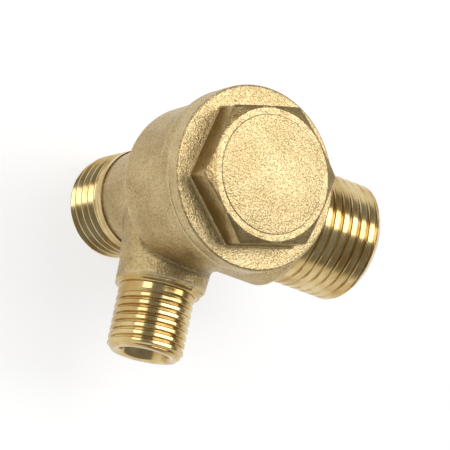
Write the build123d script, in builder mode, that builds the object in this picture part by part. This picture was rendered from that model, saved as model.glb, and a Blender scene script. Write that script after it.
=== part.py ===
from build123d import *
from math import cos, radians
import os

# Three-port non-return valve of an air compressor: a cast brass body, a screw cap with a
# hexagon head, and a spring-loaded poppet that lifts off a seat inside the body.
# Millimetres. The barrel's axis is Z, with the cap on top. The origin is the centre of the
# inlet port's end face. The tank port points along +X and the unloader port along -Y.

# Inlet port, on the barrel's axis: M18 x 1.5
inlet_thread_d = 18.0
inlet_thread_length = 10.7
inlet_bore_d = 11.0
inlet_lead = 1.1

# Tank port: G 1/2
tank_thread_d = 20.955
tank_thread_length = 14.6
tank_bore_d = 14.0
tank_lead = 1.5
tank_axis_z = 29.0
tank_reach = 31.6

# Unloader port: G 1/4
unloader_thread_d = 13.157
unloader_thread_length = 12.0
unloader_bore_d = 8.4
unloader_bore_depth = 14.5
unloader_drill_d = 5.0
unloader_lead = 0.8
unloader_axis_z = 21.8
unloader_reach = 28.9

# Cast outside of the body
neck_start_d = 17.5
neck_end_d = 21.6
barrel_back_z = 26.4
barrel_back_d = 28.6
barrel_top_d = 29.7
collar_d = 31.5
collar_z = 40.4
joint_z = 43.4
tank_boss_d = 24.2
tank_boss_drop = 0.8
unloader_boss_root_d = 18.4
unloader_boss_end_d = 15.3
unloader_boss_lift = 0.9
unloader_shoulder_d = 14.9
unloader_shoulder_length = 0.9
tank_boss_root_d = 17.6
tank_boss_round = 7.0
collar_slope = 0.9
cast_edge_r = 1.4
neck_blend_r = 1.9
tank_blend_r = 1.4
unloader_blend_r = 0.6
boss_rim_r = 0.5
shoulder_chamfer = 0.2

# Most that a blend may take of the step that it rounds
neck_blend_share = 0.55
barrel_edge_share = 0.4
tank_blend_share = 0.85
unloader_blend_share = 0.2

# Passages, chamber and seat
passage_wall = 4.0
mouth_chamfer = 0.4
chamber_d = 22.0
chamber_floor_z = 29.0
chamber_corner_r = 1.0
seat_height = 1.6
seat_land = 0.8
seat_slope = 1.0
thread_relief = 0.5

# Cap
cap_thread_d = 24.0
cap_thread_length = 6.4
cap_fit = 0.05
flange_d = 31.5
flange_height = 2.45
flange_edge_r = 0.5
joint_chamfer = 0.25
hex_flats = 23.0
hex_height = 5.15
hex_turn = 16.4
hex_face_d = 22.3
hex_corner_drop = 0.9
face_disc_d = 19.9
face_step = 0.15
hex_foot_r = 0.5
hex_side_r = 0.8
spigot_lead = 0.8
spring_pocket_d = 17.2
spring_pocket_top_z = 43.0
guide_tube_d = 8.4
guide_fit = 0.06
guide_end_gap = 0.7

# Seal between the cap and the barrel
ring_groove_width = 1.6
ring_groove_depth = 1.5
ring_groove_root_gap = 0.2
ring_wire_d = 1.4

# Poppet
poppet_lift = 4.0
lift_stop_gap = 0.2
poppet_d = 15.6
poppet_disc_height = 3.8
poppet_rim = 0.9
seal_proud = 0.6
seal_height = 2.4
seal_fit = 0.05
stem_d = 6.0
stem_length = 9.3
stem_lead = 0.5
poppet_edge_r = 0.4

# Spring
spring_wire_d = 0.6
spring_mean_d = 10.2
spring_turns = 5.0
spring_end_gap = 0.03
spring_wire_sides = 8

# How close a selected edge lies to the plane it is looked for in
tolerance = 0.01

seat_z = chamber_floor_z + seat_height
poppet_bottom_z = seat_z + seal_proud
poppet_top_z = poppet_bottom_z + poppet_disc_height
guide_tube_end_z = poppet_top_z + poppet_lift + lift_stop_gap
stem_top_z = poppet_top_z + stem_length
guide_top_z = stem_top_z + poppet_lift + guide_end_gap
flange_top_z = joint_z + flange_height
cap_top_z = flange_top_z + hex_height
cap_spigot_end_z = joint_z - cap_thread_length
spigot_d = cap_thread_d - 2 * cap_fit
ring_groove_d = cap_thread_d + 2 * ring_groove_width
ring_groove_floor_z = joint_z - ring_groove_depth
spigot_relief_d = spigot_d - 2 * ring_groove_root_gap
ring_mean_d = (ring_groove_d + spigot_relief_d) / 2
guide_bore_d = stem_d + 2 * guide_fit
recess_d = poppet_d - 2 * poppet_rim
recess_top_z = seat_z + seal_height
spring_travel = spring_pocket_top_z - poppet_top_z - spring_wire_d - 2 * spring_end_gap
hex_corner_d = hex_flats / cos(radians(30))

tank_boss_end = tank_reach - tank_thread_length
tank_bore_start = inlet_bore_d / 2 + passage_wall
unloader_boss_end = unloader_reach - unloader_thread_length
unloader_shoulder_end = unloader_boss_end + unloader_shoulder_length
unloader_bore_start = unloader_reach - unloader_bore_depth

neck_step = (barrel_back_d - neck_end_d) / 2
neck_round = min(neck_blend_r, neck_blend_share * neck_step)
barrel_round = min(cast_edge_r, barrel_edge_share * neck_step)
tank_step = (barrel_back_d - tank_boss_d) / 2
tank_round = min(tank_blend_r, tank_blend_share * tank_step)
unloader_round = min(unloader_blend_r, unloader_blend_share * unloader_boss_root_d)

# Each port is drawn with its axis as local X and turned about it.
tank_plane = Plane(origin=(0, 0, tank_axis_z), x_dir=(1, 0, 0), z_dir=(0, -1, 0))
tank_boss_plane = Plane(
    origin=(0, 0, tank_axis_z - tank_boss_drop), x_dir=(1, 0, 0), z_dir=(0, -1, 0)
)
unloader_plane = Plane(origin=(0, 0, unloader_axis_z), x_dir=(0, -1, 0), z_dir=(-1, 0, 0))
unloader_boss_plane = Plane(
    origin=(0, 0, unloader_axis_z + unloader_boss_lift), x_dir=(0, -1, 0), z_dir=(-1, 0, 0)
)
inlet_plane = Plane(origin=(0, 0, inlet_thread_length), x_dir=(0, 0, -1), z_dir=(0, -1, 0))


def axis_of(plane):
    """The axis that a port's section is turned about."""
    return Axis(plane.origin, plane.x_dir)


def threaded_end(plane, start, reach, thread_d, lead):
    """Half section of a port's threaded end, with its lead chamfer."""
    with BuildSketch(plane) as section:
        with BuildLine():
            Polyline(
                (start, 0),
                (reach, 0),
                (reach, thread_d / 2 - lead),
                (reach - lead, thread_d / 2),
                (start, thread_d / 2),
                close=True,
            )
        make_face()
    return section.sketch


def bore(plane, start, reach, bore_d, mouth):
    """Half section of a bore that opens at reach with a small chamfered mouth."""
    with BuildSketch(plane) as section:
        with BuildLine():
            Polyline(
                (start, 0),
                (reach, 0),
                (reach, bore_d / 2 + mouth),
                (reach - mouth, bore_d / 2),
                (start, bore_d / 2),
                close=True,
            )
        make_face()
    return section.sketch


# Body: one casting, machined on its ports, its bore and its seat
with BuildPart() as valve_body:
    # Neck and barrel, turned about the barrel's axis
    with BuildSketch(Plane.XZ) as barrel_section:
        with BuildLine():
            Polyline(
                (0, inlet_thread_length),
                (neck_start_d / 2, inlet_thread_length),
                (neck_end_d / 2, barrel_back_z),
                (barrel_back_d / 2, barrel_back_z),
                (barrel_top_d / 2, joint_z),
                (0, joint_z),
                close=True,
            )
        make_face()
        fillet(vertices().sort_by_distance((neck_end_d / 2, barrel_back_z))[0], neck_round)
        fillet(vertices().sort_by_distance((barrel_back_d / 2, barrel_back_z))[0], barrel_round)
    revolve(axis=Axis.Z)

    # Tank boss, rounded where it starts inside the barrel
    with BuildSketch(tank_boss_plane):
        with BuildLine():
            inner_line = Line((0, tank_boss_root_d / 2), (0, 0))
            axis_line = Line(inner_line @ 1, (tank_boss_end, 0))
            end_line = Line(axis_line @ 1, (tank_boss_end, tank_boss_d / 2))
            side_line = Line(end_line @ 1, (tank_boss_round, tank_boss_d / 2))
            TangentArc(side_line @ 1, inner_line @ 0, tangent=side_line % 1)
        make_face()
    revolve(axis=axis_of(tank_boss_plane))
    fillet(valve_body.edges(Select.NEW), tank_round)

    # Unloader boss, tapered
    with BuildSketch(unloader_boss_plane):
        with BuildLine():
            Polyline(
                (0, 0),
                (unloader_boss_end, 0),
                (unloader_boss_end, unloader_boss_end_d / 2),
                (0, unloader_boss_root_d / 2),
                close=True,
            )
        make_face()
    revolve(axis=axis_of(unloader_boss_plane))
    fillet(valve_body.edges(Select.NEW), unloader_round)

    # Collar under the cap, on a soft slope
    with BuildSketch(Plane.XZ):
        with BuildLine():
            Polyline(
                (0, collar_z - collar_slope),
                (barrel_top_d / 2, collar_z - collar_slope),
                (collar_d / 2, collar_z),
                (collar_d / 2, joint_z - joint_chamfer),
                (collar_d / 2 - joint_chamfer, joint_z),
                (0, joint_z),
                close=True,
            )
        make_face()
    revolve(axis=Axis.Z)

    # Rims of the cast bosses
    fillet(
        valve_body.edges()
        .filter_by(GeomType.CIRCLE)
        .filter_by(lambda edge: abs(edge.center().X - tank_boss_end) < tolerance),
        boss_rim_r,
    )
    fillet(
        valve_body.edges()
        .filter_by(GeomType.CIRCLE)
        .filter_by(lambda edge: abs(edge.center().Y + unloader_boss_end) < tolerance),
        boss_rim_r,
    )

    # Threaded ends, and the machined shoulder behind the unloader thread
    revolve(
        threaded_end(inlet_plane, 0, inlet_thread_length, inlet_thread_d, inlet_lead),
        axis=axis_of(inlet_plane),
    )
    revolve(
        threaded_end(tank_plane, tank_bore_start, tank_reach, tank_thread_d, tank_lead),
        axis=axis_of(tank_plane),
    )
    revolve(
        threaded_end(
            unloader_plane,
            inlet_bore_d / 2,
            unloader_shoulder_end,
            unloader_shoulder_d,
            shoulder_chamfer,
        ),
        axis=axis_of(unloader_plane),
    )
    revolve(
        threaded_end(
            unloader_plane, inlet_bore_d / 2, unloader_reach, unloader_thread_d, unloader_lead
        ),
        axis=axis_of(unloader_plane),
    )

    # Inlet passage up to the seat
    revolve(
        bore(inlet_plane, inlet_thread_length - seat_z, inlet_thread_length, inlet_bore_d, mouth_chamfer),
        axis=axis_of(inlet_plane),
        mode=Mode.SUBTRACT,
    )

    # Chamber, round the crown of the seat, with the cap's thread and ring counterbore above it
    with BuildSketch(Plane.XZ):
        with BuildLine():
            Polyline(
                (0, seat_z),
                (inlet_bore_d / 2 + seat_land, seat_z),
                (inlet_bore_d / 2 + seat_land + seat_slope, chamber_floor_z),
                (chamber_d / 2, chamber_floor_z),
                (chamber_d / 2, cap_spigot_end_z - thread_relief),
                (cap_thread_d / 2, cap_spigot_end_z - thread_relief),
                (cap_thread_d / 2, ring_groove_floor_z),
                (ring_groove_d / 2, ring_groove_floor_z),
                (ring_groove_d / 2, joint_z),
                (0, joint_z),
                close=True,
            )
        make_face()
        fillet(vertices().sort_by_distance((chamber_d / 2, chamber_floor_z))[0], chamber_corner_r)
    revolve(axis=Axis.Z, mode=Mode.SUBTRACT)

    # Tank passage, and the unloader's port with the small drilling behind it
    revolve(
        bore(tank_plane, tank_bore_start, tank_reach, tank_bore_d, mouth_chamfer),
        axis=axis_of(tank_plane),
        mode=Mode.SUBTRACT,
    )
    revolve(
        bore(unloader_plane, unloader_bore_start, unloader_reach, unloader_bore_d, mouth_chamfer),
        axis=axis_of(unloader_plane),
        mode=Mode.SUBTRACT,
    )
    with BuildSketch(Plane.XZ):
        with Locations((0, unloader_axis_z)):
            Circle(unloader_drill_d / 2)
    extrude(amount=unloader_bore_start, mode=Mode.SUBTRACT)

# Hexagon of the cap, with rounded sides and its corners turned down to the face
with BuildPart() as hex_head:
    with BuildSketch(Plane.XY.offset(flange_top_z)):
        RegularPolygon(radius=hex_corner_d / 2, side_count=6, rotation=hex_turn)
    extrude(amount=hex_height)
    fillet(hex_head.edges().filter_by(Axis.Z), hex_side_r)
    with BuildSketch(Plane.XZ):
        with BuildLine():
            Polyline(
                (0, flange_top_z),
                (hex_corner_d / 2, flange_top_z),
                (hex_corner_d / 2, cap_top_z - hex_corner_drop),
                (hex_face_d / 2, cap_top_z - face_step),
                (face_disc_d / 2 + face_step, cap_top_z - face_step),
                (face_disc_d / 2, cap_top_z),
                (0, cap_top_z),
                close=True,
            )
        make_face()
    revolve(axis=Axis.Z, mode=Mode.INTERSECT)

# Cap: flange, spigot and guide tube turned in one piece under the hexagon
with BuildPart() as cap:
    with BuildSketch(Plane.XZ):
        with BuildLine():
            Polyline(
                (0, guide_tube_end_z),
                (guide_tube_d / 2, guide_tube_end_z),
                (guide_tube_d / 2, spring_pocket_top_z),
                (spring_pocket_d / 2, spring_pocket_top_z),
                (spring_pocket_d / 2, cap_spigot_end_z),
                (spigot_d / 2 - spigot_lead, cap_spigot_end_z),
                (spigot_d / 2, cap_spigot_end_z + spigot_lead),
                (spigot_d / 2, ring_groove_floor_z),
                (spigot_relief_d / 2, ring_groove_floor_z),
                (spigot_relief_d / 2, joint_z),
                (flange_d / 2 - joint_chamfer, joint_z),
                (flange_d / 2, joint_z + joint_chamfer),
                (flange_d / 2, flange_top_z),
                (0, flange_top_z),
                close=True,
            )
        make_face()
        fillet(vertices().sort_by_distance((flange_d / 2, flange_top_z))[0], flange_edge_r)
    revolve(axis=Axis.Z)
    add(hex_head.part)
    fillet(
        cap.edges()
        .filter_by_position(Axis.Z, flange_top_z - tolerance, flange_top_z + tolerance)
        .filter_by(lambda edge: edge.length < hex_flats),
        hex_foot_r,
    )
    with BuildSketch(Plane.XY.offset(guide_tube_end_z)):
        Circle(guide_bore_d / 2)
    extrude(amount=guide_top_z - guide_tube_end_z, mode=Mode.SUBTRACT)

# Sealing ring in the counterbore under the flange
with BuildPart() as cap_o_ring:
    with BuildSketch(Plane.XZ):
        with Locations((ring_mean_d / 2, joint_z - ring_groove_depth / 2)):
            Circle(ring_wire_d / 2)
    revolve(axis=Axis.Z)

# Poppet: disc with a recess for its seal, and a stem that slides in the cap's guide
with BuildPart() as poppet:
    with BuildSketch(Plane.XZ):
        with BuildLine():
            Polyline(
                (0, recess_top_z),
                (recess_d / 2, recess_top_z),
                (recess_d / 2, poppet_bottom_z),
                (poppet_d / 2, poppet_bottom_z),
                (poppet_d / 2, poppet_top_z),
                (stem_d / 2, poppet_top_z),
                (stem_d / 2, stem_top_z - stem_lead),
                (stem_d / 2 - stem_lead, stem_top_z),
                (0, stem_top_z),
                close=True,
            )
        make_face()
        fillet(vertices().sort_by_distance((poppet_d / 2, poppet_top_z))[0], poppet_edge_r)
    revolve(axis=Axis.Z)

# Seal in the poppet's recess, standing proud of it on the seat
with BuildPart() as poppet_seal:
    with BuildSketch(Plane.XY.offset(seat_z)):
        Circle(recess_d / 2 - seal_fit)
    extrude(amount=seal_height)

# Spring between the poppet and the cap's pocket
with BuildPart() as return_spring:
    with BuildLine() as spring_path:
        Helix(
            pitch=spring_travel / spring_turns,
            height=spring_travel,
            radius=spring_mean_d / 2,
            center=(0, 0, poppet_top_z + spring_end_gap + spring_wire_d / 2),
        )
    with BuildSketch(Plane(origin=spring_path.line @ 0, z_dir=spring_path.line % 0)):
        RegularPolygon(radius=spring_wire_d / 2, side_count=spring_wire_sides)
    sweep(is_frenet=True)

os.makedirs("parts", exist_ok=True)

valve_body.part.label = "valve_body"
export_step(valve_body.part, "parts/valve_body.step")
cap.part.label = "cap"
export_step(cap.part, "parts/cap.step")
cap_o_ring.part.label = "cap_o_ring"
export_step(cap_o_ring.part, "parts/cap_o_ring.step")
poppet.part.label = "poppet"
export_step(poppet.part, "parts/poppet.step")
poppet_seal.part.label = "poppet_seal"
export_step(poppet_seal.part, "parts/poppet_seal.step")
return_spring.part.label = "return_spring"
export_step(return_spring.part, "parts/return_spring.step")
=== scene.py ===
"""Dresses the three-port non-return valve: its castings, turned threads, cap, poppet and spring."""

import logging
import math
from dataclasses import dataclass, field
from enum import Enum
from typing import Iterable

import bmesh
import bpy
from mathutils import Euler, Matrix, Vector


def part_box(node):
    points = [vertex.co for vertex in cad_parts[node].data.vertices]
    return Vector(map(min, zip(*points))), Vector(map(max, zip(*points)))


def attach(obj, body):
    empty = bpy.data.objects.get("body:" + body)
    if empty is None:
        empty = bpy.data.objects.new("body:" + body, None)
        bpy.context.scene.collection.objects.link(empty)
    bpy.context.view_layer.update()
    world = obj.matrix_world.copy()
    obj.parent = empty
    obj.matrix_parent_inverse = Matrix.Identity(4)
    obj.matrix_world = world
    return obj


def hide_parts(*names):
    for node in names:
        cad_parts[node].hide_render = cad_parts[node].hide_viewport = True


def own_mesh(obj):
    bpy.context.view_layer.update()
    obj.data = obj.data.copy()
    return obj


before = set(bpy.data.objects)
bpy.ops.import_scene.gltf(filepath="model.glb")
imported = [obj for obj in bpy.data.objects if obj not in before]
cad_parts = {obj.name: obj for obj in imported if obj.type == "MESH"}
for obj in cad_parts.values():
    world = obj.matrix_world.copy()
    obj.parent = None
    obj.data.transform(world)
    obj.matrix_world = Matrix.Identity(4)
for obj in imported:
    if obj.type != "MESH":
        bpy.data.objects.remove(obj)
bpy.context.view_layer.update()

logging.basicConfig(level=logging.INFO, format="%(message)s")
log = logging.getLogger("valve")

# One millimetre, in the scene's metres
MM = 0.001

# Side of the photograph in pixels, which the focal length in pixels is measured in
PHOTO_SIDE = 450

# Vertices nearer than this are one vertex, in metres
WELD = 1e-7

# Name of the attribute that says how hollow a casting is at each point
HOLLOW = "hollow"


class Body(Enum):
    """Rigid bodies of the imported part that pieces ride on."""

    VALVE = "valve"
    POPPET = "poppet"


class Slot(Enum):
    """Material slots of the record."""

    CAST_BRASS = "cast_brass"
    CAP_BRASS = "cap_brass"
    TURNED_BRASS = "turned_brass"
    NITRILE_RUBBER = "nitrile_rubber"
    SPRING_WIRE = "spring_wire"


class Heading(Enum):
    """Ways that a port can point out of the body, as the turn of local +Z."""

    UP = (0.0, 0.0, 0.0)
    DOWN = (math.pi, 0.0, 0.0)
    ALONG_X = (0.0, math.pi / 2, 0.0)
    AGAINST_Y = (math.pi / 2, 0.0, 0.0)

    @property
    def turn(self) -> Matrix:
        """Rotation that takes local +Z to the heading."""
        return Euler(self.value).to_matrix()


class Axis(Enum):
    """Axis that a surface was turned about, as how far a pattern stretches along X, Y and Z."""

    X = (1.0, 0.03, 0.03)
    Y = (0.03, 1.0, 0.03)
    Z = (0.03, 0.03, 1.0)


class Skin(Enum):
    """Ways that the brass was finished."""

    CAST = "cast"
    CAP = "cap"
    RUBBED = "rubbed"
    TURNED_X = "turned about X"
    TURNED_Y = "turned about Y"
    TURNED_Z = "turned about Z"


def linear_colour(hex_code: str) -> tuple[float, float, float, float]:
    """Turns an sRGB colour into the linear one that shaders take.

    Args:
        hex_code: colour as "#RRGGBB".

    Returns:
        Linear red, green and blue, and an alpha of 1.
    """
    channels = [int(hex_code[i : i + 2], 16) / 255 for i in (1, 3, 5)]
    linear = [c / 12.92 if c <= 0.04045 else ((c + 0.055) / 1.055) ** 2.4 for c in channels]
    return (linear[0], linear[1], linear[2], 1.0)


def add_node(
    tree: bpy.types.NodeTree, kind: str, settings: dict | None = None, **inputs
) -> bpy.types.Node:
    """Adds a node with its settings, and links or sets its inputs.

    Args:
        tree: node tree that gets the node.
        kind: Blender's type name of the node.
        settings: attributes of the node, such as its operation.
        **inputs: value or output socket for each input, named by "i" and its number, or by its
            name with underscores for spaces.

    Returns:
        The new node.
    """
    node = tree.nodes.new(kind)
    for name, value in (settings or {}).items():
        setattr(node, name, value)
    for name, value in inputs.items():
        by_number = name[0] == "i" and name[1:].isdigit()
        socket = node.inputs[int(name[1:])] if by_number else node.inputs[name.replace("_", " ")]
        if isinstance(value, bpy.types.NodeSocket):
            tree.links.new(value, socket)
        else:
            socket.default_value = value
    return node


def calc(tree: bpy.types.NodeTree, operation: str, first, second=0.0, third=0.0):
    """One Math node's output on up to three values or sockets."""
    return add_node(
        tree, "ShaderNodeMath", {"operation": operation}, i0=first, i1=second, i2=third
    ).outputs[0]


def ranged(
    tree: bpy.types.NodeTree,
    value: bpy.types.NodeSocket,
    source: tuple,
    target: tuple = (0.0, 1.0),
    smooth: bool = False,
) -> bpy.types.NodeSocket:
    """A Map Range node's output.

    Args:
        tree: node tree that gets the node.
        value: what is mapped.
        source: the range that it comes from, as values or sockets.
        target: the range that it goes to.
        smooth: whether it eases in and out of the range.

    Returns:
        The mapped value, kept inside the target range.
    """
    return add_node(
        tree,
        "ShaderNodeMapRange",
        {"interpolation_type": "SMOOTHSTEP" if smooth else "LINEAR"},
        Value=value,
        From_Min=source[0],
        From_Max=source[1],
        To_Min=target[0],
        To_Max=target[1],
    ).outputs["Result"]


def noise(
    tree: bpy.types.NodeTree, place: bpy.types.NodeSocket, width_mm: float, detail: float = 2.0
) -> bpy.types.NodeSocket:
    """Noise on Object coordinates whose features are width_mm wide."""
    return add_node(
        tree, "ShaderNodeTexNoise", Vector=place, Scale=1.0 / (width_mm * MM), Detail=detail,
        Roughness=0.55,
    ).outputs["Fac"]


def bumped(
    tree: bpy.types.NodeTree,
    height: bpy.types.NodeSocket,
    height_mm: float,
    under: bpy.types.NodeSocket | None = None,
) -> bpy.types.NodeSocket:
    """A Bump node's normal, for a pattern height_mm high on top of the normal under it."""
    bump = add_node(tree, "ShaderNodeBump", Height=height, Strength=1.0, Distance=height_mm * MM)
    if under is not None:
        tree.links.new(under, bump.inputs["Normal"])
    return bump.outputs["Normal"]


def blended(
    tree: bpy.types.NodeTree, share: bpy.types.NodeSocket, first, second
) -> bpy.types.NodeSocket:
    """A colour Mix node's output, from the first colour at 0 to the second at 1."""
    return add_node(
        tree, "ShaderNodeMix", {"data_type": "RGBA"}, i0=share, i6=first, i7=second
    ).outputs[2]


@dataclass(frozen=True)
class CastFinish:
    """Sand-cast and shot-blasted metal.

    Attributes:
        name: the material's name.
        bright: colour of the blasted metal.
        dull: colour of the patches with more oxide.
        grime_and_shade: colour of the dark bottoms of the shot marks, and of the painted shade in
            hollows and corners, which stands mostly for shade and a little for dark residue.
        rubbed: colour of edges that handling has rubbed bright.
        roughness: microfacet roughness.
        grain_mm: width of one shot mark.
        grain_depth_mm: depth of the shot marks.
        sand_mm: width of the coarser marks that the sand left.
        sand_depth_mm: their depth.
        patch_mm: width of the patches between bright and dull.
        speckle: how much darker the bottoms of the shot marks are than their rims.
    """

    name: str
    bright: str
    dull: str
    grime_and_shade: str
    rubbed: str
    roughness: float
    grain_mm: float
    grain_depth_mm: float
    sand_mm: float
    sand_depth_mm: float
    patch_mm: float
    speckle: float

    def make(self) -> bpy.types.Material:
        """Builds the material's nodes.

        Returns:
            The finished material.
        """
        material = bpy.data.materials.new(self.name)
        material.use_nodes = True
        tree = material.node_tree
        shader = tree.nodes["Principled BSDF"]
        place = add_node(tree, "ShaderNodeTexCoord").outputs["Object"]
        hollow = add_node(
            tree, "ShaderNodeAttribute", {"attribute_name": HOLLOW}
        ).outputs["Fac"]
        grain = noise(tree, place, self.grain_mm)
        sand = noise(tree, place, self.sand_mm, 3.0)
        patches = noise(tree, place, self.patch_mm, 3.0)

        skin = blended(
            tree, ranged(tree, patches, (0.35, 0.65)), linear_colour(self.dull),
            linear_colour(self.bright),
        )
        skin = blended(
            tree, ranged(tree, grain, (0.3, 0.55), (self.speckle, 0.0)), skin,
            linear_colour(self.grime_and_shade),
        )
        skin = blended(
            tree, ranged(tree, hollow, (-0.2, -1.0), (0.0, 0.5)), skin,
            linear_colour(self.rubbed),
        )
        # Painted shade: hollows and corners darken towards the dark colour, mostly standing in for
        # shade and partly for residue
        skin = blended(
            tree, ranged(tree, hollow, (0.1, 1.2), (0.0, 0.75)), skin, linear_colour(self.grime_and_shade)
        )
        rough = ranged(
            tree, grain, (0.3, 0.7), (self.roughness * 1.15, self.roughness * 0.8)
        )
        normal = bumped(tree, sand, self.sand_depth_mm)
        normal = bumped(tree, grain, self.grain_depth_mm, normal)
        tree.links.new(skin, shader.inputs["Base Color"])
        tree.links.new(rough, shader.inputs["Roughness"])
        tree.links.new(normal, shader.inputs["Normal"])
        shader.inputs["Metallic"].default_value = 1.0
        return material


@dataclass(frozen=True)
class TurnedFinish:
    """Metal turned on a lathe, with the tool's fine lines round its axis.

    Attributes:
        name: the material's name.
        bright: colour of the clean metal.
        dull: colour where it has tarnished.
        roughness: microfacet roughness.
        line_mm: spacing of the tool's lines.
        line_depth_mm: their depth.
        patch_mm: width of the patches between clean and tarnished.
        axis: axis that it was turned about.
    """

    name: str
    bright: str
    dull: str
    roughness: float
    line_mm: float
    line_depth_mm: float
    patch_mm: float
    axis: Axis

    def make(self) -> bpy.types.Material:
        """Builds the material's nodes.

        Returns:
            The finished material.
        """
        material = bpy.data.materials.new(self.name)
        material.use_nodes = True
        tree = material.node_tree
        shader = tree.nodes["Principled BSDF"]
        place = add_node(tree, "ShaderNodeTexCoord").outputs["Object"]
        # Squeezed across the axis, the noise runs in rings round it
        rings = add_node(
            tree, "ShaderNodeMapping", Vector=place, Scale=self.axis.value
        ).outputs["Vector"]
        lines = noise(tree, rings, self.line_mm)
        patches = noise(tree, place, self.patch_mm, 3.0)
        metal = blended(
            tree, ranged(tree, patches, (0.35, 0.65)), linear_colour(self.dull),
            linear_colour(self.bright),
        )
        metal = blended(
            tree, ranged(tree, lines, (0.3, 0.55), (0.35, 0.0)), metal, linear_colour(self.dull)
        )
        rough = ranged(
            tree, lines, (0.3, 0.7), (self.roughness * 0.8, self.roughness * 1.3)
        )
        tree.links.new(metal, shader.inputs["Base Color"])
        tree.links.new(rough, shader.inputs["Roughness"])
        tree.links.new(bumped(tree, lines, self.line_depth_mm), shader.inputs["Normal"])
        shader.inputs["Metallic"].default_value = 1.0
        return material


@dataclass(frozen=True)
class PlainFinish:
    """A finish with a fine even grain: moulded rubber or drawn wire.

    Attributes:
        name: the material's name.
        colour: its colour.
        roughness: microfacet roughness.
        metallic: 1 on a metal, 0 on rubber.
        grain_mm: width of the grain.
        grain_depth_mm: depth of the grain.
    """

    name: str
    colour: str
    roughness: float
    metallic: float
    grain_mm: float
    grain_depth_mm: float

    def make(self) -> bpy.types.Material:
        """Builds the material's nodes.

        Returns:
            The finished material.
        """
        material = bpy.data.materials.new(self.name)
        material.use_nodes = True
        tree = material.node_tree
        shader = tree.nodes["Principled BSDF"]
        place = add_node(tree, "ShaderNodeTexCoord").outputs["Object"]
        grain = noise(tree, place, self.grain_mm)
        rough = ranged(tree, grain, (0.3, 0.7), (self.roughness * 0.85, self.roughness * 1.15))
        tree.links.new(rough, shader.inputs["Roughness"])
        tree.links.new(bumped(tree, grain, self.grain_depth_mm), shader.inputs["Normal"])
        shader.inputs["Base Color"].default_value = linear_colour(self.colour)
        shader.inputs["Metallic"].default_value = self.metallic
        return material


# Cast brass, shot-blasted: a pale, speckled, sandy skin with no mirror in it
CAST_BRASS = CastFinish(
    name="cast_brass_shot_blasted", bright="#CEB786", dull="#B69D6C", grime_and_shade="#54422A",
    rubbed="#DCCBA2", roughness=0.42, grain_mm=0.34, grain_depth_mm=0.12, sand_mm=1.1,
    sand_depth_mm=0.12, patch_mm=7.0, speckle=0.45,
)

# The cap's blasted brass: fresher and paler than the body's, and it sparkles under the lamps
CAP_BRASS = CastFinish(
    name="cap_brass_shot_blasted", bright="#D3BE8F", dull="#C3AC7D", grime_and_shade="#5E4B30",
    rubbed="#E2D2AA", roughness=0.42, grain_mm=0.34, grain_depth_mm=0.11, sand_mm=1.1,
    sand_depth_mm=0.12, patch_mm=6.0, speckle=0.4,
)

# The hexagon's flats: pressed smoother than the rest and rubbed by the spanner, so softer in the
# light, with less grain; their darker colour is painted shade
RUBBED_SHADED_BRASS = CastFinish(
    name="pressed_brass_rubbed_shaded", bright="#B8A071", dull="#A48B5D", grime_and_shade="#5A472C",
    rubbed="#CDB988", roughness=0.33, grain_mm=0.4, grain_depth_mm=0.03, sand_mm=1.6,
    sand_depth_mm=0.08, patch_mm=3.0, speckle=0.15,
)


def turned_brass(axis: Axis) -> TurnedFinish:
    """Turned brass: deep gold, with tight highlights that run across the tool's lines."""
    return TurnedFinish(
        name=f"turned_brass_{axis.name.lower()}", bright="#DAC592", dull="#BA9A60",
        roughness=0.17, line_mm=0.14, line_depth_mm=0.008, patch_mm=4.0, axis=axis,
    )


# Nitrile rubber, moulded: black with a soft sheen
NITRILE_RUBBER = PlainFinish(
    name="nitrile_rubber_moulded", colour="#1B1B1C", roughness=0.55, metallic=0.0,
    grain_mm=0.15, grain_depth_mm=0.004,
)

# Stainless wire, drawn: bright grey with faint draw marks
STAINLESS_WIRE = PlainFinish(
    name="stainless_wire_drawn", colour="#B9B7B1", roughness=0.28, metallic=1.0,
    grain_mm=0.2, grain_depth_mm=0.002,
)


def scratch_object(name: str, mesh: bpy.types.Mesh) -> bpy.types.Object:
    """Links a mesh to a scratch object, so that modifiers can work on it."""
    obj = bpy.data.objects.new(name, mesh)
    bpy.context.scene.collection.objects.link(obj)
    return obj


def plain_mesh(obj: bpy.types.Object) -> bpy.types.Mesh:
    """Evaluates an object with its modifiers and drops it.

    Args:
        obj: scratch object, which is removed.

    Returns:
        A plain mesh of what its modifiers made.
    """
    graph = bpy.context.evaluated_depsgraph_get()
    mesh = bpy.data.meshes.new_from_object(obj.evaluated_get(graph))
    bpy.data.objects.remove(obj)
    return mesh


def add_tree(
    obj: bpy.types.Object, tree: bpy.types.NodeTree, values: dict
) -> bpy.types.NodesModifier:
    """Puts a Geometry Nodes modifier on an object and sets its inputs.

    Args:
        obj: the object.
        tree: the node tree.
        values: input name to value.

    Returns:
        The modifier.
    """
    modifier = obj.modifiers.new(tree.name, "NODES")
    modifier.node_group = tree
    keys = {
        item.name: item.identifier
        for item in tree.interface.items_tree
        if item.item_type == "SOCKET" and item.in_out == "INPUT"
    }
    for name, value in values.items():
        modifier[keys[name]] = value
    return modifier


def new_tree(name: str, sockets: dict[str, str]) -> bpy.types.NodeTree:
    """Starts a Geometry Nodes tree.

    Args:
        name: name of the tree.
        sockets: name of each input to the kind of its socket, such as "Float".

    Returns:
        The tree, with its inputs and one geometry output.
    """
    tree = bpy.data.node_groups.new(name, "GeometryNodeTree")
    face = tree.interface
    face.new_socket("Geometry", in_out="OUTPUT", socket_type="NodeSocketGeometry")
    for title, kind in sockets.items():
        face.new_socket(title, in_out="INPUT", socket_type=f"NodeSocket{kind}")
    return tree


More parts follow.
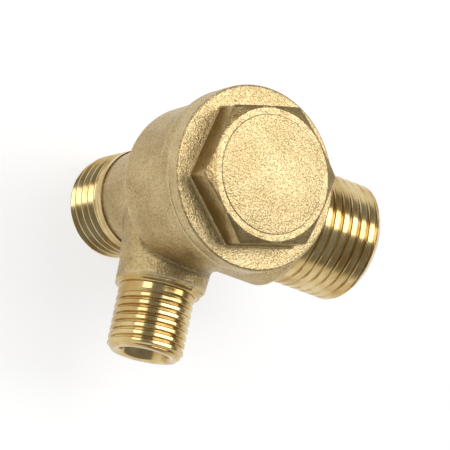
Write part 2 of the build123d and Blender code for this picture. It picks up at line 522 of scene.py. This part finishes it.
def finish_tree(
    tree: bpy.types.NodeTree, geometry: bpy.types.NodeSocket, finish: bpy.types.NodeSocket
) -> None:
    """Ends a tree with Realize Instances and Set Material, and links its output."""
    real = add_node(tree, "GeometryNodeRealizeInstances", Geometry=geometry).outputs[0]
    dressed = add_node(tree, "GeometryNodeSetMaterial", Geometry=real, Material=finish)
    out = tree.nodes.new("NodeGroupOutput")
    tree.links.new(dressed.outputs[0], out.inputs[0])


def grown_mesh(tree: bpy.types.NodeTree, values: dict) -> bpy.types.Mesh:
    """Runs a tree that makes its own geometry, and points its faces outwards.

    Args:
        tree: the node tree.
        values: input name to value.

    Returns:
        A plain, welded mesh.
    """
    obj = scratch_object("scratch", bpy.data.meshes.new("scratch"))
    add_tree(obj, tree, values)
    mesh = plain_mesh(obj)
    shape = bmesh.new()
    shape.from_mesh(mesh)
    bmesh.ops.remove_doubles(shape, verts=shape.verts, dist=WELD)
    bmesh.ops.recalc_face_normals(shape, faces=shape.faces)
    shape.to_mesh(mesh)
    shape.free()
    return mesh


def add_piece(
    name: str,
    mesh: bpy.types.Mesh,
    body: Body,
    stands_for: Iterable[str] = (),
    sharp_deg: float | None = None,
) -> bpy.types.Object:
    """Puts a finished mesh into the scene as a piece of the valve.

    Args:
        name: name of the piece.
        mesh: its mesh, in metres and in the part's frame.
        body: rigid body that it rides on.
        stands_for: nodes of the part that it replaces.
        sharp_deg: edges that turn by more than this stay sharp.

    Returns:
        The piece's object.
    """
    mesh.name = name
    mesh.shade_smooth()
    if sharp_deg is not None:
        mesh.set_sharp_from_angle(angle=math.radians(sharp_deg))
    piece = bpy.data.objects.new(name, mesh)
    bpy.context.scene.collection.objects.link(piece)
    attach(piece, body.value)
    if stands_for:
        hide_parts(*stands_for)
    mesh.calc_loop_triangles()
    log.info("%s: %d triangles, rides on %s", name, len(mesh.loop_triangles), body.value)
    return piece


@dataclass
class ThreadTree:
    """Geometry Nodes tree of one threaded tube: a grid bent into a tube, with the thread cut in it.

    The grid's rows run from the tube's start, over the thread, round the end face and back
    through the bore. Its columns go once round the axis.
    """

    name: str = "threaded_tube"
    extra_rows: int = 4
    # Radius of the soft corner where the lead chamfer meets the thread, in metres
    lead_corner: float = 0.00012
    tree: bpy.types.NodeTree = field(init=False)

    SOCKETS = {
        "Start": "Float",
        "Reach": "Float",
        "Bore Radius": "Float",
        "Major Radius": "Float",
        "Pitch": "Float",
        "Depth": "Float",
        "Crest": "Float",
        "Root": "Float",
        "Roundness": "Float",
        "Lead": "Float",
        "Mouth": "Float",
        "Run-out": "Float",
        "Buried": "Float",
        "Rows": "Int",
        "Columns": "Int",
        "Turn": "Rotation",
        "Place": "Vector",
        "Finish": "Material",
    }

    def __post_init__(self) -> None:
        """Builds the tree."""
        self.tree = new_tree(self.name, self.SOCKETS)
        self.wire()

    def math(self, operation: str, first, second=0.0, third=0.0) -> bpy.types.NodeSocket:
        """One Math node's output on up to three values or sockets."""
        return calc(self.tree, operation, first, second, third)

    def switch(self, where, at_true, at_false) -> bpy.types.NodeSocket:
        """A Switch node's output: at_true where the first socket holds, else at_false."""
        return add_node(
            self.tree, "GeometryNodeSwitch", {"input_type": "FLOAT"}, i0=where, i1=at_false,
            i2=at_true,
        ).outputs[0]

    def is_row(self, row, number) -> bpy.types.NodeSocket:
        """True on one row of the grid."""
        return add_node(
            self.tree, "FunctionNodeCompare", {"data_type": "FLOAT", "operation": "EQUAL"},
            i0=row, i1=number, Epsilon=0.4,
        ).outputs[0]

    def groove(self, sizes, along, angle) -> bpy.types.NodeSocket:
        """How deep the groove is at a place, from 0 on the crest to 1 in the root.

        Args:
            sizes: the group's inputs.
            along: distance along the tube's axis.
            angle: angle round it, in radians.

        Returns:
            The share of the thread's full depth.
        """
        turns = self.math("DIVIDE", angle, 2 * math.pi)
        steps = self.math("DIVIDE", along, sizes["Pitch"])
        tooth = self.math("FRACT", self.math("SUBTRACT", steps, turns))
        from_crest = self.math(
            "MULTIPLY", self.math("ABSOLUTE", self.math("SUBTRACT", tooth, 0.5)), 2.0
        )
        flank = (sizes["Crest"], self.math("SUBTRACT", 1.0, sizes["Root"]))
        straight = ranged(self.tree, from_crest, flank)
        rounded = ranged(self.tree, from_crest, flank, smooth=True)
        more = self.math("MULTIPLY", self.math("SUBTRACT", rounded, straight), sizes["Roundness"])
        return self.math("ADD", straight, more)

    def outside(self, sizes, along, angle) -> bpy.types.NodeSocket:
        """Radius of the outside, with the thread, its run-out and the lead chamfer.

        Args:
            sizes: the group's inputs.
            along: distance along the tube's axis.
            angle: angle round it, in radians.

        Returns:
            The radius, in metres.
        """
        # The cut gets shallower where the tool was drawn out
        run_out_end = self.math("ADD", sizes["Start"], sizes["Run-out"])
        full = ranged(self.tree, along, (sizes["Start"], run_out_end), smooth=True)
        cut = self.math("MULTIPLY", self.groove(sizes, along, angle), full)
        threaded = self.math(
            "SUBTRACT", sizes["Major Radius"], self.math("MULTIPLY", cut, sizes["Depth"])
        )
        lead = self.math(
            "ADD",
            self.math("SUBTRACT", sizes["Major Radius"], sizes["Lead"]),
            self.math("SUBTRACT", sizes["Reach"], along),
        )
        return self.math("SMOOTH_MIN", threaded, lead, self.lead_corner)

    def wire(self) -> None:
        """Lays out the nodes from the grid to the finished tube."""
        sizes = self.tree.nodes.new("NodeGroupInput").outputs
        rows = self.math("ADD", sizes["Rows"], float(self.extra_rows))
        columns = self.math("ADD", sizes["Columns"], 1.0)
        grid = add_node(
            self.tree, "GeometryNodeMeshGrid", Size_X=1.0, Size_Y=1.0, Vertices_X=rows,
            Vertices_Y=columns,
        ).outputs["Mesh"]
        spot = add_node(
            self.tree, "ShaderNodeSeparateXYZ",
            i0=self.tree.nodes.new("GeometryNodeInputPosition").outputs[0],
        ).outputs
        angle = self.math("MULTIPLY", self.math("ADD", spot["Y"], 0.5), 2 * math.pi)
        share = self.math("ADD", spot["X"], 0.5)
        row = self.math("ROUND", self.math("MULTIPLY", share, self.math("SUBTRACT", rows, 1.0)))
        last_row = self.math("SUBTRACT", sizes["Rows"], 1.0)
        first = self.math("SUBTRACT", sizes["Start"], sizes["Buried"])
        step = self.math("DIVIDE", self.math("MINIMUM", row, last_row), last_row)
        on_thread = self.math(
            "ADD",
            first,
            self.math("MULTIPLY", step, self.math("SUBTRACT", sizes["Reach"], first)),
        )
        mouth_row = self.is_row(row, sizes["Rows"])
        bore_row = self.is_row(row, self.math("ADD", sizes["Rows"], 1.0))
        back_row = self.is_row(row, self.math("ADD", sizes["Rows"], 2.0))
        closing_row = self.is_row(row, self.math("ADD", sizes["Rows"], 3.0))

        along = self.switch(mouth_row, sizes["Reach"], on_thread)
        along = self.switch(bore_row, self.math("SUBTRACT", sizes["Reach"], sizes["Mouth"]), along)
        along = self.switch(back_row, sizes["Start"], along)
        along = self.switch(closing_row, first, along)
        mouth_radius = self.math("ADD", sizes["Bore Radius"], sizes["Mouth"])
        radius = self.switch(mouth_row, mouth_radius, self.outside(sizes, on_thread, angle))
        radius = self.switch(bore_row, sizes["Bore Radius"], radius)
        radius = self.switch(back_row, sizes["Bore Radius"], radius)
        radius = self.switch(closing_row, self.outside(sizes, first, angle), radius)

        place = add_node(
            self.tree,
            "ShaderNodeCombineXYZ",
            X=self.math("MULTIPLY", self.math("COSINE", angle), radius),
            Y=self.math("MULTIPLY", self.math("SINE", angle), radius),
            Z=along,
        ).outputs[0]
        tube = add_node(self.tree, "GeometryNodeSetPosition", Geometry=grid, Position=place)
        joined = add_node(
            self.tree, "GeometryNodeMergeByDistance", Geometry=tube.outputs[0], Distance=WELD
        )
        placed = add_node(
            self.tree, "GeometryNodeTransform", Geometry=joined.outputs[0],
            Translation=sizes["Place"], Rotation=sizes["Turn"],
        )
        finish_tree(self.tree, placed.outputs[0], sizes["Finish"])


@dataclass
class Port:
    """One threaded port, with its sizes in millimetres.

    Attributes:
        name: name of the piece.
        heading: way that the port points.
        skin: its finish.
        place: point on the axis that start and reach are measured from.
        start: distance to where the threaded tube leaves the casting.
        reach: distance to the port's end face.
        major_d: thread's outside diameter.
        pitch: distance from crest to crest.
        depth: depth of the thread.
        bore_d: bore's diameter.
        lead: chamfer at the port's end.
        crest: share of half a pitch that the crest keeps flat.
        root: share of half a pitch that the root keeps flat.
        roundness: 0 with straight flanks, 1 with flanks that ease into crest and root.
        mouth: chamfer at the bore's mouth.
        run_out: length over which the thread fades in.
        buried: length of the tube inside the casting.
    """

    name: str
    heading: Heading
    skin: Skin
    place: tuple[float, float, float]
    start: float
    reach: float
    major_d: float
    pitch: float
    depth: float
    bore_d: float
    lead: float
    crest: float = 0.14
    root: float = 0.06
    roundness: float = 0.3
    mouth: float = 0.4
    run_out: float = 1.2
    buried: float = 0.5
    rows_per_pitch: int = 24
    columns: int = 144

    def build(
        self, tree: ThreadTree, finishes: dict[Skin, bpy.types.Material]
    ) -> bpy.types.Object:
        """Makes the port's threaded tube.

        Args:
            tree: the Geometry Nodes tree that cuts threads.
            finishes: material of each skin.

        Returns:
            The piece.
        """
        length = self.reach - self.start + self.buried
        mesh = grown_mesh(
            tree.tree,
            {
                "Start": self.start * MM,
                "Reach": self.reach * MM,
                "Bore Radius": self.bore_d / 2 * MM,
                "Major Radius": self.major_d / 2 * MM,
                "Pitch": self.pitch * MM,
                "Depth": self.depth * MM,
                "Crest": self.crest,
                "Root": self.root,
                "Roundness": self.roundness,
                "Lead": self.lead * MM,
                "Mouth": self.mouth * MM,
                "Run-out": self.run_out * MM,
                "Buried": self.buried * MM,
                "Rows": round(self.rows_per_pitch * length / self.pitch),
                "Columns": self.columns,
                "Turn": self.heading.value,
                "Place": Vector(self.place) * MM,
                "Finish": finishes[self.skin],
            },
        )
        return add_piece(self.name, mesh, Body.VALVE, sharp_deg=50.0)

    def cutter(self) -> bpy.types.Object:
        """A scratch cylinder, in millimetres, over all that lies past the tube's start."""
        shape = bmesh.new()
        bmesh.ops.create_cone(
            shape, cap_ends=True, segments=64, radius1=self.major_d, radius2=self.major_d,
            depth=2 * self.reach, matrix=Matrix.Translation((0, 0, self.start + self.reach)),
        )
        shape.transform(Matrix.Translation(self.place) @ self.heading.turn.to_4x4())
        mesh = bpy.data.meshes.new("cutter")
        shape.to_mesh(mesh)
        shape.free()
        return scratch_object("cutter", mesh)


@dataclass
class Machined:
    """A region of a casting that a tool has finished, in millimetres.

    Attributes:
        heading: way that its axis points.
        skin: its finish.
        place: point on the axis that start and stop are measured from.
        start: where it begins along the axis.
        stop: where it ends.
        radius: how far it reaches from the axis.
    """

    heading: Heading
    skin: Skin
    place: tuple[float, float, float]
    start: float
    stop: float
    radius: float

    def holds(self, point: Vector) -> bool:
        """Whether a point of the casting, in millimetres, lies in the region."""
        local = self.heading.turn.transposed() @ (point - Vector(self.place))
        return self.start <= local.z <= self.stop and math.hypot(local.x, local.y) <= self.radius


@dataclass
class SkinTree:
    """Geometry Nodes tree of a casting's skin: a slightly uneven surface with a parting line.

    It also stores how hollow the surface is at each point, which the finish darkens as painted shade,
    with a little residue.
    """

    name: str = "cast_skin"
    # Passes and reach of the blur that the hollows are measured against
    blur_passes: int = 6
    tree: bpy.types.NodeTree = field(init=False)

    SOCKETS = {
        "Casting": "Geometry",
        "Wave Width": "Float",
        "Wave Height": "Float",
        "Parting Height": "Float",
        "Parting Width": "Float",
        "Hollow Depth": "Float",
        "Finish": "Material",
    }

    def __post_init__(self) -> None:
        """Builds the tree."""
        self.tree = new_tree(self.name, self.SOCKETS)
        self.wire()

    def wire(self) -> None:
        """Lays out the nodes."""
        tree = self.tree
        sizes = tree.nodes.new("NodeGroupInput").outputs
        place = tree.nodes.new("GeometryNodeInputPosition").outputs[0]
        normal = tree.nodes.new("GeometryNodeInputNormal").outputs[0]
        wave = add_node(
            tree, "ShaderNodeTexNoise", Vector=place,
            Scale=calc(tree, "DIVIDE", 1.0, sizes["Wave Width"]), Detail=2.0,
        ).outputs[0]
        wave = calc(tree, "MULTIPLY", wave, sizes["Wave Height"])
        # The mould parts in the plane of the barrel and the tank port
        across = add_node(tree, "ShaderNodeSeparateXYZ", i0=place).outputs["Y"]
        off = calc(tree, "DIVIDE", across, sizes["Parting Width"])
        ridge = calc(tree, "EXPONENT", calc(tree, "MULTIPLY", calc(tree, "MULTIPLY", off, off), -1.0))
        ridge = calc(tree, "MULTIPLY", ridge, sizes["Parting Height"])
        # The ridge's top and the highest waves lie where the solid's surface is
        lowest = calc(tree, "ADD", sizes["Parting Height"], sizes["Wave Height"])
        height = calc(tree, "SUBTRACT", calc(tree, "ADD", wave, ridge), lowest)
        shift = add_node(
            tree, "ShaderNodeVectorMath", {"operation": "SCALE"}, i0=normal, Scale=height
        ).outputs[0]
        uneven = add_node(
            tree, "GeometryNodeSetPosition", Geometry=sizes["Casting"], Offset=shift
        ).outputs[0]
        blurred = add_node(
            tree, "GeometryNodeBlurAttribute", {"data_type": "FLOAT_VECTOR"},
            Value=place, Iterations=self.blur_passes,
        ).outputs["Value"]
        way = add_node(
            tree, "ShaderNodeVectorMath", {"operation": "SUBTRACT"}, i0=blurred, i1=place
        ).outputs[0]
        proud = add_node(
            tree, "ShaderNodeVectorMath", {"operation": "DOT_PRODUCT"}, i0=way, i1=normal
        ).outputs["Value"]
        stored = add_node(
            tree, "GeometryNodeStoreNamedAttribute", {"data_type": "FLOAT", "domain": "POINT"},
            Geometry=uneven, Name=HOLLOW, Value=calc(tree, "DIVIDE", proud, sizes["Hollow Depth"]),
        ).outputs[0]
        finish_tree(tree, stored, sizes["Finish"])


@dataclass
class Casting:
    """A cast piece: the node's own shape, with the soft edges that sand and shot give it.

    Attributes:
        node: node of the part that it stands for.
        name: name of the piece.
        slot: record's material slot; not used.
        skin: its finish where no tool has been.
        machined: regions that a tool has finished.
    """

    node: str
    name: str
    slot: Slot
    skin: Skin
    machined: tuple[Machined, ...] = ()

    def welded(self) -> bpy.types.Object:
        """A scratch object with a welded copy of the node's mesh, in millimetres."""
        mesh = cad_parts[self.node].data.copy()
        shape = bmesh.new()
        shape.from_mesh(mesh)
        bmesh.ops.remove_doubles(shape, verts=shape.verts, dist=WELD)
        bmesh.ops.scale(shape, verts=shape.verts, vec=(1 / MM, 1 / MM, 1 / MM))
        shape.to_mesh(mesh)
        shape.free()
        mesh.shade_smooth()
        return scratch_object("scratch", mesh)

    def finish(
        self,
        mesh: bpy.types.Mesh,
        finishes: dict[Skin, bpy.types.Material],
        sharp_deg: float | None = None,
    ) -> bpy.types.Object:
        """Gives the shape its finishes, region by region, and puts it into the scene.

        Args:
            mesh: the shape, in millimetres.
            finishes: material of each skin.
            sharp_deg: edges that turn by more than this stay sharp.

        Returns:
            The piece.
        """
        skins = [self.skin, *dict.fromkeys(zone.skin for zone in self.machined)]
        mesh.materials.clear()
        for skin in skins:
            mesh.materials.append(finishes[skin])
        for polygon in mesh.polygons:
            zone = next((z for z in self.machined if z.holds(polygon.center)), None)
            polygon.material_index = skins.index(zone.skin) if zone else 0
        mesh.transform(Matrix.Scale(MM, 4))
        return add_piece(
            self.name, mesh, Body.VALVE, stands_for=(self.node,), sharp_deg=sharp_deg
        )


@dataclass
class SandCasting(Casting):
    """A casting from a sand mould, with rounded corners, an uneven skin and a parting line.

    Attributes:
        ports: ports whose threaded ends are cut off it, because they are pieces of their own.
        voxel: side of the cells that the shape is rebuilt from, in millimetres.
        smoothing: how many times the surface is eased.
        wave_width: width of its unevenness.
        wave_height: height of its unevenness.
        parting_width: half the width of its parting line.
        parting_height: height of its parting line.
        hollow_depth: depth of a hollow that gets most of the painted shade.
    """

    ports: tuple[Port, ...] = ()
    voxel: float = 0.33
    smoothing: int = 1
    wave_width: float = 3.0
    wave_height: float = 0.05
    parting_width: float = 0.35
    parting_height: float = 0.06
    hollow_depth: float = 0.1

    def build(
        self, tree: SkinTree, finishes: dict[Skin, bpy.types.Material]
    ) -> bpy.types.Object:
        """Makes the casting.

        Args:
            tree: the Geometry Nodes tree of a cast skin.
            finishes: material of each skin.

        Returns:
            The piece.
        """
        obj = self.welded()
        cutters = [port.cutter() for port in self.ports]
        for cutter in cutters:
            cut = obj.modifiers.new("cut", "BOOLEAN")
            cut.operation = "DIFFERENCE"
            cut.solver = "MANIFOLD"
            cut.object = cutter
        cells = obj.modifiers.new("cells", "REMESH")
        cells.mode = "VOXEL"
        cells.voxel_size = self.voxel
        ease = obj.modifiers.new("ease", "SMOOTH")
        ease.factor = 0.5
        ease.iterations = self.smoothing
        add_tree(
            obj,
            tree.tree,
            {
                "Wave Width": self.wave_width,
                "Wave Height": self.wave_height,
                "Parting Height": self.parting_height,
                "Parting Width": self.parting_width,
                "Hollow Depth": self.hollow_depth,
                "Finish": finishes[self.skin],
            },
        )
        mesh = plain_mesh(obj)
        for cutter in cutters:
            bpy.data.objects.remove(cutter)
        return self.finish(mesh, finishes)


@dataclass
class Pressing(Casting):
    """A piece pressed hot in a die, with crisp flats and narrow round edges.

    Attributes:
        edge: width of the round edges.
        steps: facets across each edge.
        flat_deg: faces that meet within this angle are one flat.
        edge_deg: edges that turn by more than this are rounded.
    """

    edge: float = 0.3
    steps: int = 3
    flat_deg: float = 0.5
    edge_deg: float = 12.0

    def build(self, finishes: dict[Skin, bpy.types.Material]) -> bpy.types.Object:
        """Makes the pressing.

        Args:
            finishes: material of each skin.

        Returns:
            The piece.
        """
        obj = self.welded()
        shape = bmesh.new()
        shape.from_mesh(obj.data)
        bmesh.ops.dissolve_limit(
            shape, angle_limit=math.radians(self.flat_deg), verts=shape.verts, edges=shape.edges
        )
        shape.to_mesh(obj.data)
        shape.free()
        obj.data.shade_smooth()
        round_off = obj.modifiers.new("round_off", "BEVEL")
        round_off.width = self.edge
        round_off.segments = self.steps
        round_off.limit_method = "ANGLE"
        round_off.angle_limit = math.radians(self.edge_deg)
        round_off.harden_normals = True
        cuts = obj.modifiers.new("cuts", "TRIANGULATE")
        cuts.keep_custom_normals = True
        return self.finish(plain_mesh(obj), finishes)


@dataclass
class Spring:
    """Return spring: a wire helix with closed end coils, in millimetres.

    Attributes:
        wire_d: wire's diameter.
        mean_d: diameter of the helix.
        turns: turns in all, with the closed ones.
        closed: turns at each end that lie against each other.
        length_at_lift: share of its length that is left when the poppet is fully lifted; not used.
    """

    wire_d: float = 0.6
    mean_d: float = 10.2
    turns: float = 6.0
    closed: float = 1.0
    length_at_lift: float = 0.5
    points_per_turn: int = 48
    wire_sides: int = 14

    SOCKETS = {
        "Low": "Float",
        "High": "Float",
        "Radius": "Float",
        "Wire Radius": "Float",
        "Turns": "Float",
        "Closed": "Float",
        "Points": "Int",
        "Wire Sides": "Int",
        "Finish": "Material",
    }

    def tree(self) -> bpy.types.NodeTree:
        """Builds the Geometry Nodes tree of the coil.

        Returns:
            The node tree, with named inputs for the spring's sizes.
        """
        tree = new_tree("spring_coil", self.SOCKETS)
        sizes = tree.nodes.new("NodeGroupInput").outputs
        line = add_node(tree, "GeometryNodeCurvePrimitiveLine").outputs[0]
        path = add_node(
            tree, "GeometryNodeResampleCurve", Curve=line, Count=sizes["Points"]
        ).outputs[0]
        share = add_node(tree, "GeometryNodeSplineParameter").outputs["Factor"]
        turn = calc(tree, "MULTIPLY", share, sizes["Turns"])
        angle = calc(tree, "MULTIPLY", turn, 2 * math.pi)
        wire = calc(tree, "MULTIPLY", sizes["Wire Radius"], 2.0)
        low = calc(tree, "ADD", sizes["Low"], sizes["Wire Radius"])
        high = calc(tree, "SUBTRACT", sizes["High"], sizes["Wire Radius"])
        # The end coils rise by one wire a turn, and the free coils share what is left
        top_turn = calc(tree, "SUBTRACT", sizes["Turns"], sizes["Closed"])
        in_first = calc(tree, "MINIMUM", turn, sizes["Closed"])
        in_last = calc(tree, "MAXIMUM", calc(tree, "SUBTRACT", turn, top_turn), 0.0)
        closed_rise = calc(tree, "MULTIPLY", calc(tree, "ADD", in_first, in_last), wire)
        free_share = ranged(tree, turn, (sizes["Closed"], top_turn))
        both_ends = calc(tree, "MULTIPLY", calc(tree, "MULTIPLY", sizes["Closed"], wire), 2.0)
        free = calc(tree, "SUBTRACT", calc(tree, "SUBTRACT", high, low), both_ends)
        rise = calc(tree, "ADD", closed_rise, calc(tree, "MULTIPLY", free_share, free))
        spot = add_node(
            tree,
            "ShaderNodeCombineXYZ",
            X=calc(tree, "MULTIPLY", calc(tree, "COSINE", angle), sizes["Radius"]),
            Y=calc(tree, "MULTIPLY", calc(tree, "SINE", angle), sizes["Radius"]),
            Z=calc(tree, "ADD", low, rise),
        ).outputs[0]
        coil = add_node(tree, "GeometryNodeSetPosition", Geometry=path, Position=spot).outputs[0]
        ring = add_node(
            tree, "GeometryNodeCurvePrimitiveCircle", Resolution=sizes["Wire Sides"],
            Radius=sizes["Wire Radius"],
        ).outputs[0]
        tube = add_node(
            tree, "GeometryNodeCurveToMesh", Curve=coil, Profile_Curve=ring, Fill_Caps=True
        ).outputs[0]
        finish_tree(tree, tube, sizes["Finish"])
        return tree

    def build(self, finish: bpy.types.Material) -> bpy.types.Object:
        """Makes the spring at rest, between the ends of the node's box.

        Args:
            finish: its material.

        Returns:
            The piece.
        """
        low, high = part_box("return_spring")
        mesh = grown_mesh(
            self.tree(),
            {
                "Low": low.z,
                "High": high.z,
                "Radius": self.mean_d / 2 * MM,
                "Wire Radius": self.wire_d / 2 * MM,
                "Turns": self.turns,
                "Closed": self.closed,
                "Points": round(self.turns * self.points_per_turn),
                "Wire Sides": self.wire_sides,
                "Finish": finish,
            },
        )
        spring = add_piece(
            "return_spring_coil", mesh, Body.VALVE,
            stands_for=("return_spring",), sharp_deg=60.0,
        )
        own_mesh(spring)
        return spring


@dataclass(frozen=True)
class Softbox:
    """One rectangular softbox.

    Attributes:
        name: its name.
        towards: direction from the valve to the softbox.
        distance: its distance, in metres.
        width: its side across the photograph's up direction, in metres.
        height: its other side, in metres.
        level: its brightness, where a white card in plain light is 1.
    """

    name: str
    towards: tuple[float, float, float]
    distance: float
    width: float
    height: float
    level: float

    def hang(self, centre: Vector) -> None:
        """Hangs the softbox, turned towards the centre and level with the ports' plane."""
        data = bpy.data.lights.new(self.name, "AREA")
        data.shape = "RECTANGLE"
        data.size = self.width
        data.size_y = self.height
        data.energy = self.level * math.pi * self.width * self.height
        back = Vector(self.towards).normalized()
        side = Vector((0, 1, 0)).cross(back).normalized()
        turn = Matrix((side, back.cross(side), back)).transposed().to_4x4()
        lamp = bpy.data.objects.new(self.name, data)
        lamp.matrix_world = Matrix.Translation(centre + back * self.distance) @ turn
        bpy.context.scene.collection.objects.link(lamp)


@dataclass
class Studio:
    """Floor, lights and camera, in the part's frame.

    Attributes:
        camera_place: the camera's place, in millimetres.
        camera_right: direction of the picture's right side.
        camera_up: direction of the picture's top.
        focal_px: focal length in pixels of the photograph's frame.
        sky: brightness of the room above the valve.
    """

    camera_place: tuple[float, float, float] = (-336.02, -176.08, 594.10)
    camera_right: tuple[float, float, float] = (0.811, 0.197, 0.551)
    camera_up: tuple[float, float, float] = (-0.302, 0.948, 0.105)
    focal_px: float = 4000.0
    floor_side: float = 6.0
    sky: float = 0.25
    centre: tuple[float, float, float] = (0.0, 0.0, 0.03)
    softboxes: tuple[Softbox, ...] = (
        Softbox("key", (0.33, 0.29, 0.898), 1.0, 1.15, 0.5, 3.7),
        Softbox("side", (-0.879, 0.15, 0.452), 1.0, 0.46, 0.5, 2.5),
    )

    def camera(self) -> None:
        """Makes the camera at the photograph's viewing angle."""
        data = bpy.data.cameras.new("camera")
        data.sensor_width = 36.0
        data.sensor_fit = "HORIZONTAL"
        data.lens = self.focal_px * data.sensor_width / PHOTO_SIDE
        data.clip_start = 0.05
        data.clip_end = 50.0
        right = Vector(self.camera_right).normalized()
        up = Vector(self.camera_up)
        up = (up - right * up.dot(right)).normalized()
        turn = Matrix((right, up, right.cross(up))).transposed().to_4x4()
        camera = bpy.data.objects.new("camera", data)
        camera.matrix_world = Matrix.Translation(Vector(self.camera_place) * MM) @ turn
        bpy.context.scene.collection.objects.link(camera)
        bpy.context.scene.camera = camera

    def floor(self) -> None:
        """Makes the pale floor, white to eye and metal, which keeps the valve's shadow."""
        half = self.floor_side / 2
        mesh = bpy.data.meshes.new("floor")
        corners = [(-half, -half, 0), (half, -half, 0), (half, half, 0), (-half, half, 0)]
        mesh.from_pydata(corners, [], [(0, 1, 2, 3)])
        material = bpy.data.materials.new("white_paper")
        material.use_nodes = True
        tree = material.node_tree
        tree.nodes.clear()
        path = add_node(tree, "ShaderNodeLightPath").outputs
        seen = calc(tree, "MAXIMUM", path["Is Camera Ray"], path["Is Glossy Ray"])
        seen = calc(tree, "MAXIMUM", seen, path["Is Transmission Ray"])
        glow = add_node(
            tree, "ShaderNodeEmission", Color=(1, 1, 1, 1),
            Strength=calc(tree, "MULTIPLY", seen, 0.72),
        ).outputs[0]
        lit = add_node(tree, "ShaderNodeBsdfDiffuse", Color=linear_colour("#A8A8A6")).outputs[0]
        both = add_node(tree, "ShaderNodeAddShader", i0=lit, i1=glow).outputs[0]
        out = tree.nodes.new("ShaderNodeOutputMaterial")
        tree.links.new(both, out.inputs["Surface"])
        mesh.materials.append(material)
        floor = bpy.data.objects.new("floor", mesh)
        bpy.context.scene.collection.objects.link(floor)

    def room(self) -> None:
        """Makes the room: as white as the floor round the valve, and darker overhead."""
        world = bpy.data.worlds.new("studio")
        bpy.context.scene.world = world
        world.use_nodes = True
        tree = world.node_tree
        tree.nodes.clear()
        way = add_node(tree, "ShaderNodeTexCoord").outputs["Generated"]
        height = add_node(tree, "ShaderNodeSeparateXYZ", Vector=way).outputs["Z"]
        level = ranged(tree, height, (0.1, 0.3), (1.0, self.sky), smooth=True)
        light = add_node(tree, "ShaderNodeBackground", Color=(1, 1, 1, 1), Strength=level)
        out = tree.nodes.new("ShaderNodeOutputWorld")
        tree.links.new(light.outputs[0], out.inputs["Surface"])

    def build(self) -> None:
        """Sets up the whole studio."""
        self.camera()
        self.floor()
        self.room()
        for softbox in self.softboxes:
            softbox.hang(Vector(self.centre))
        bpy.context.scene.view_settings.view_transform = "Standard"


def dress_node(name: str, finish: bpy.types.Material) -> None:
    """Gives a node of the part its material."""
    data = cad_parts[name].data
    data.materials.clear()
    data.materials.append(finish)


def main() -> None:
    """Sets up the studio and builds the valve's pieces in order."""
    finishes = {
        Skin.CAST: CAST_BRASS.make(),
        Skin.CAP: CAP_BRASS.make(),
        Skin.RUBBED: RUBBED_SHADED_BRASS.make(),
        Skin.TURNED_X: turned_brass(Axis.X).make(),
        Skin.TURNED_Y: turned_brass(Axis.Y).make(),
        Skin.TURNED_Z: turned_brass(Axis.Z).make(),
    }
    rubber = NITRILE_RUBBER.make()
    wire = STAINLESS_WIRE.make()

    Studio().build()

    inlet = Port(
        name="inlet_thread", heading=Heading.DOWN, skin=Skin.TURNED_Z, place=(0, 0, 10.7),
        start=0.0, reach=10.7, major_d=18.0, pitch=2.0, depth=0.85, bore_d=11.0, lead=1.1,
        crest=0.08, roundness=0.0, run_out=2.2,
    )
    tank = Port(
        name="tank_thread", heading=Heading.ALONG_X, skin=Skin.TURNED_X, place=(0, 0, 29.0),
        start=17.0, reach=31.6, major_d=20.955, pitch=1.814, depth=0.5, bore_d=14.0, lead=1.3,
        crest=0.55, roundness=0.2,
    )
    unloader = Port(
        name="unloader_thread", heading=Heading.AGAINST_Y, skin=Skin.TURNED_Y,
        place=(0, 0, 21.8), start=17.8, reach=28.9, major_d=13.157, pitch=1.337, depth=0.5,
        bore_d=8.4, lead=0.8, crest=0.4, roundness=1.0, run_out=2.8,
    )
    threads = ThreadTree()
    for port in (inlet, tank, unloader):
        port.build(threads, finishes)

    SandCasting(
        node="valve_body",
        name="valve_body_casting",
        slot=Slot.CAST_BRASS,
        skin=Skin.CAST,
        ports=(inlet, tank, unloader),
        machined=(
            Machined(Heading.AGAINST_Y, Skin.TURNED_Y, unloader.place, 16.95, 18.5, 8.0),
            Machined(Heading.AGAINST_Y, Skin.TURNED_Y, unloader.place, 6.0, 16.95, 4.8),
            Machined(Heading.ALONG_X, Skin.TURNED_X, tank.place, 16.9, 17.5, 12.5),
            Machined(Heading.ALONG_X, Skin.TURNED_X, tank.place, 8.5, 16.9, 7.5),
            Machined(Heading.DOWN, Skin.TURNED_Z, inlet.place, -0.15, 0.5, 10.0),
            Machined(Heading.UP, Skin.TURNED_Z, (0, 0, 0), 10.0, 28.5, 6.0),
            Machined(Heading.UP, Skin.TURNED_Z, (0, 0, 0), 28.5, 43.2, 13.9),
            Machined(Heading.UP, Skin.TURNED_Z, (0, 0, 0), 43.2, 44.0, 15.0),
        ),
    ).build(SkinTree(), finishes)
    Pressing(
        node="cap",
        name="cap_pressing",
        slot=Slot.CAP_BRASS,
        skin=Skin.CAP,
        machined=(
            Machined(Heading.UP, Skin.TURNED_Z, (0, 0, 0), 30.0, 43.2, 20.0),
            # The hexagon's flats get the darker brass, which is painted shade
            Machined(Heading.UP, Skin.RUBBED, (0, 0, 0), 46.3, 50.8, 14.5),
        ),
    ).build(finishes)
    Spring().build(wire)

    dress_node("poppet", finishes[Skin.TURNED_Z])
    dress_node("poppet_seal", rubber)
    dress_node("cap_o_ring", rubber)


if __name__ == "__main__":
    main()
